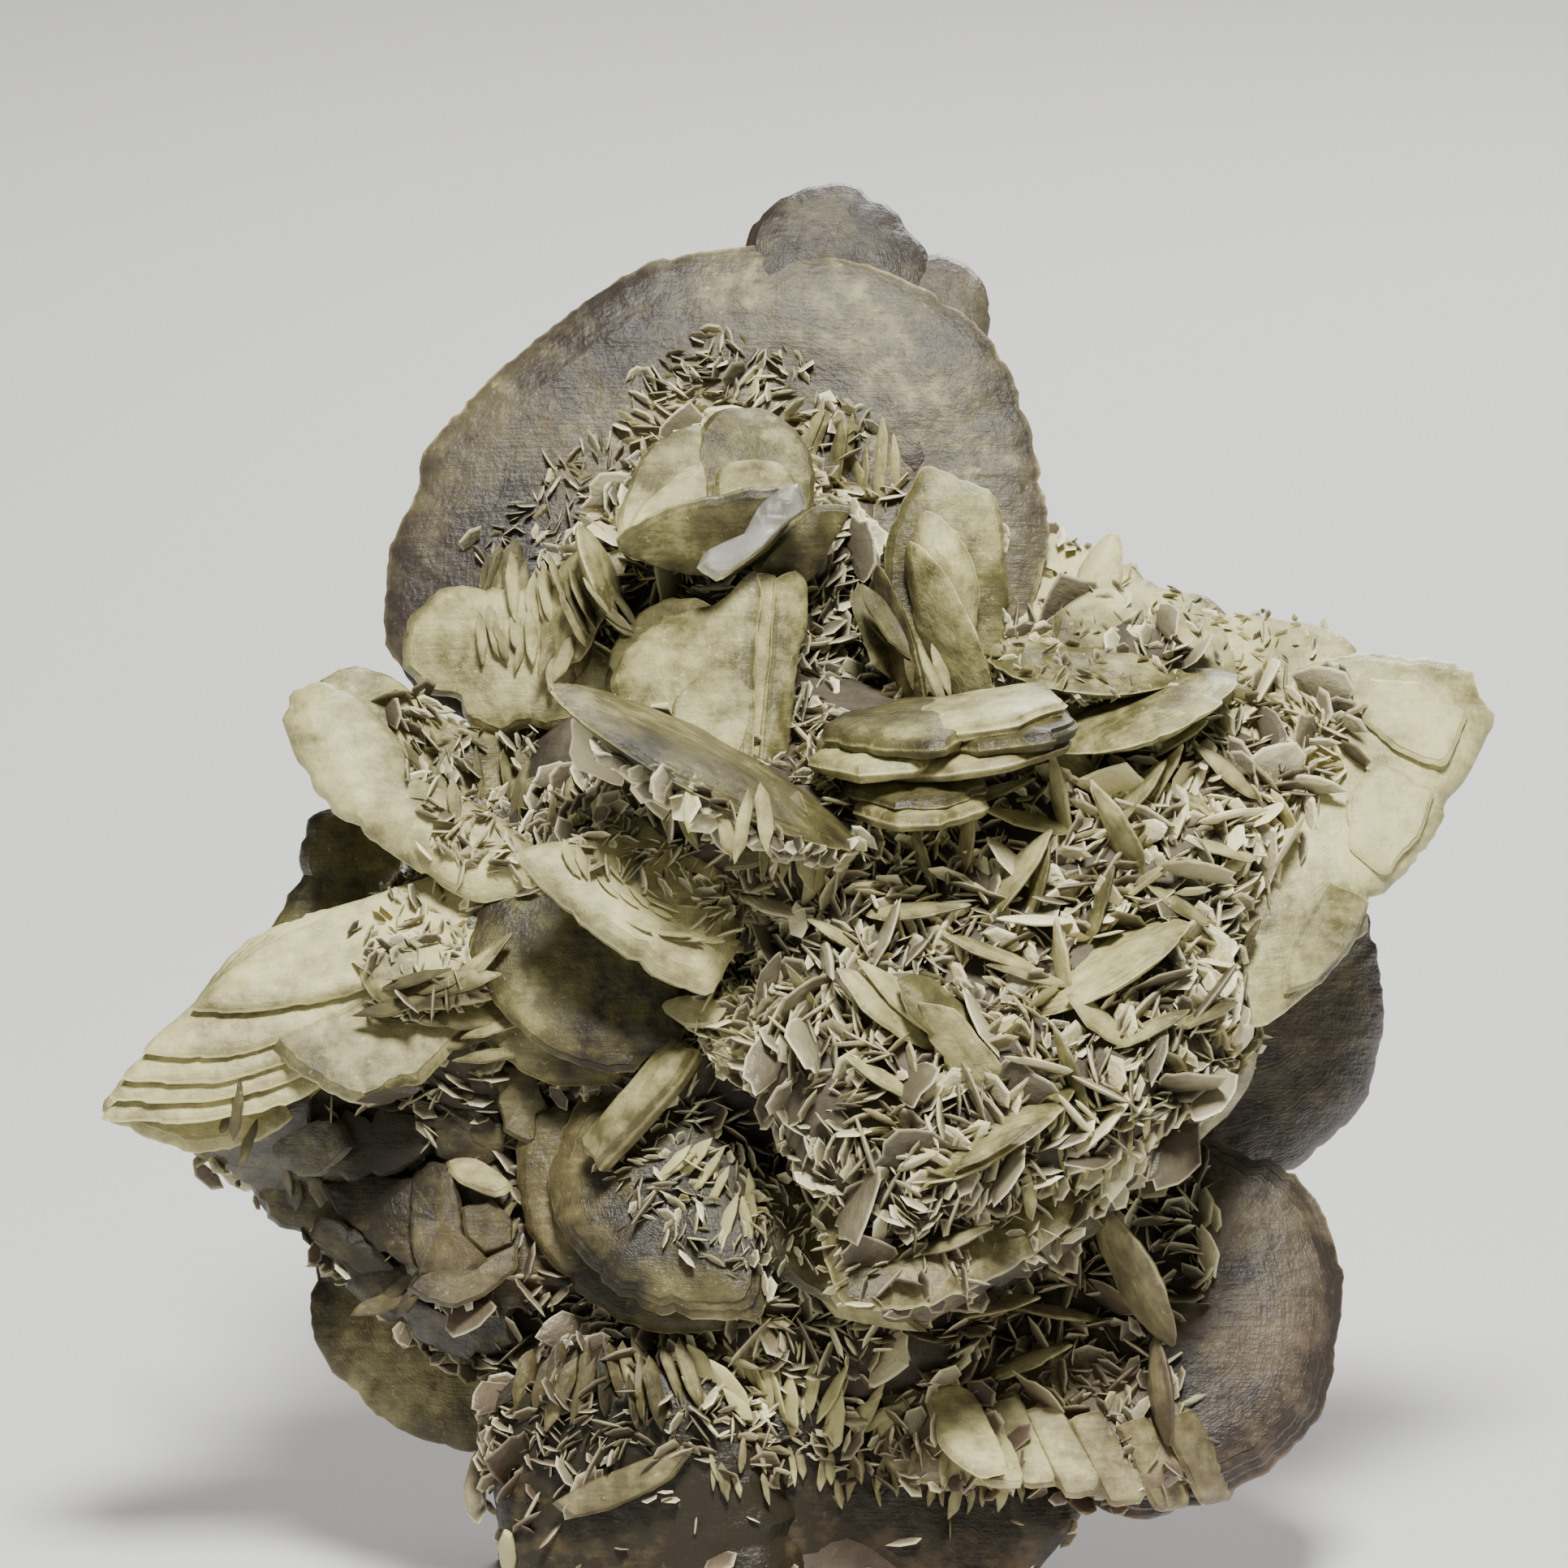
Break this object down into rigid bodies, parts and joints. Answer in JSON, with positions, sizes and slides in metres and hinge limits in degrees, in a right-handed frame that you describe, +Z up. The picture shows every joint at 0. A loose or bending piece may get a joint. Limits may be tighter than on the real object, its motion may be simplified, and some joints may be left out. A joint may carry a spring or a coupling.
{
  "type": "gypsum crystal rosette",
  "caption": "Cluster of intergrown lens-shaped gypsum blades with an upright disc at the top, a pointed wing each side and a crust of small crystals, cut flat at the base.",
  "frame": {"origin": "middle of the flat base cut that the cluster rests on", "axes": "+Z up, away from the base cut; -Y towards the viewer's side, the face with the crusted beds; +X to that viewer's right"},
  "size_m": [0.1711, 0.1139, 0.1647],
  "materials": {
    "gypsum": "translucent, silky to frosted"
  },
  "bodies": {
    "root": {"crystal_rosette": "gypsum"}
  },
  "joints": []
}
